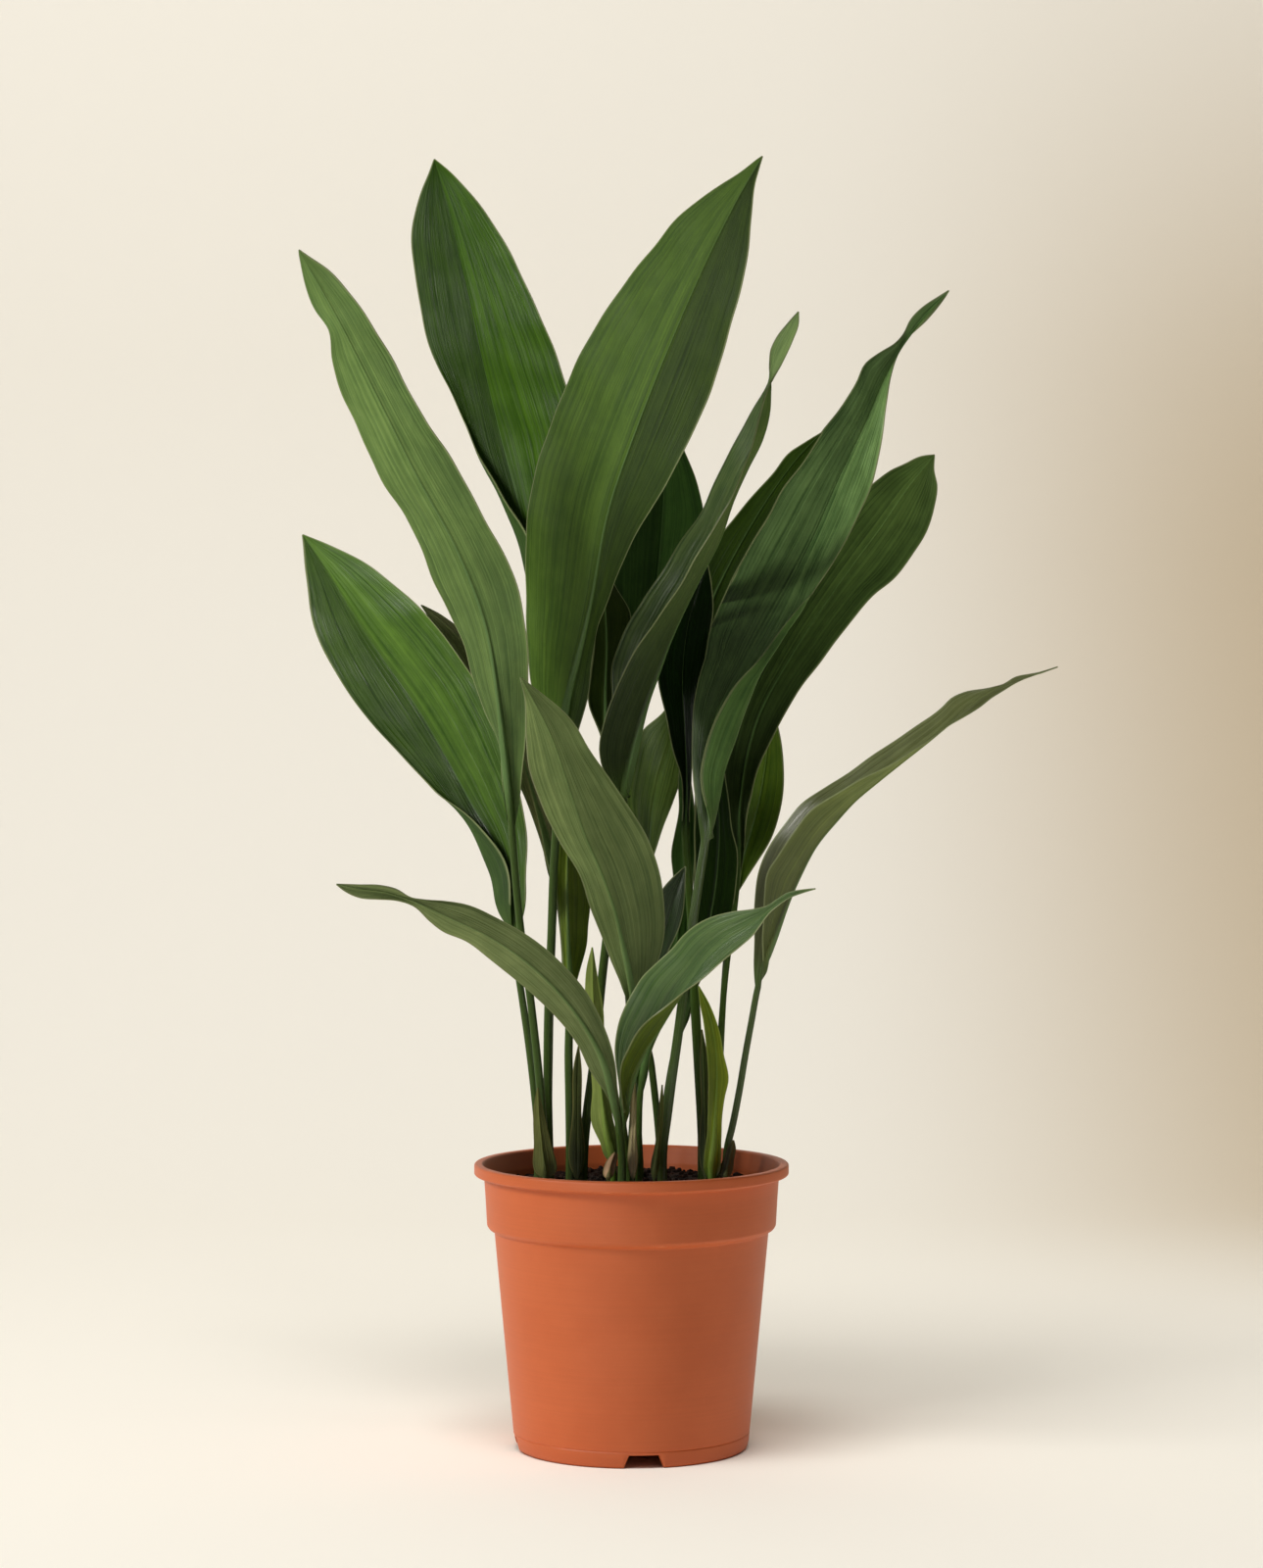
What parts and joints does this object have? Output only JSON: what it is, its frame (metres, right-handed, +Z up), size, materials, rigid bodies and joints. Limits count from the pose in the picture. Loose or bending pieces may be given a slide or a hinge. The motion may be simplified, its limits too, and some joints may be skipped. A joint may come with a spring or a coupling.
{
  "type": "potted cast iron plant",
  "caption": "Cast iron plant with long, arching, lance-shaped leaves on slender stalks, rising from the soil of a plain round tapered plastic nursery pot.",
  "frame": {"origin": "centre of the flat pad under the pot, in the plane the pot stands on", "axes": "+Z up, the pot's axis; -Y towards the front; +X to the right as seen from the front"},
  "size_m": [0.5095, 0.364, 0.8793],
  "materials": {
    "pot": "satin, fine turned lines",
    "soil": "rough crumbly potting soil",
    "leaf": "satin, finely ribbed along the length, matte below",
    "young_leaf": "satin, finely ribbed",
    "sheath": "dry, papery, streaked"
  },
  "bodies": {
    "root": {"pot": "pot", "soil": "soil", "leaf_a": "leaf", "leaf_b": "leaf", "leaf_c": "leaf", "leaf_d": "leaf", "leaf_e": "leaf", "leaf_f": "leaf", "leaf_g": "leaf", "leaf_h": "leaf", "leaf_i": "leaf", "leaf_j": "leaf", "leaf_k": "leaf", "leaf_l": "leaf", "leaf_m": "leaf", "leaf_n": "leaf", "leaf_o": "leaf", "leaf_p": "leaf", "leaf_q": "leaf", "leaf_r": "leaf", "leaf_s": "leaf", "leaf_t": "leaf", "leaf_u": "leaf", "leaf_v": "leaf", "shoot_a": "young_leaf", "shoot_b": "young_leaf", "sheath_a": "sheath", "sheath_b": "sheath", "sheath_c": "sheath", "sheath_d": "sheath", "sheath_e": "sheath", "sheath_f": "sheath", "sheath_g": "sheath"}
  },
  "joints": []
}
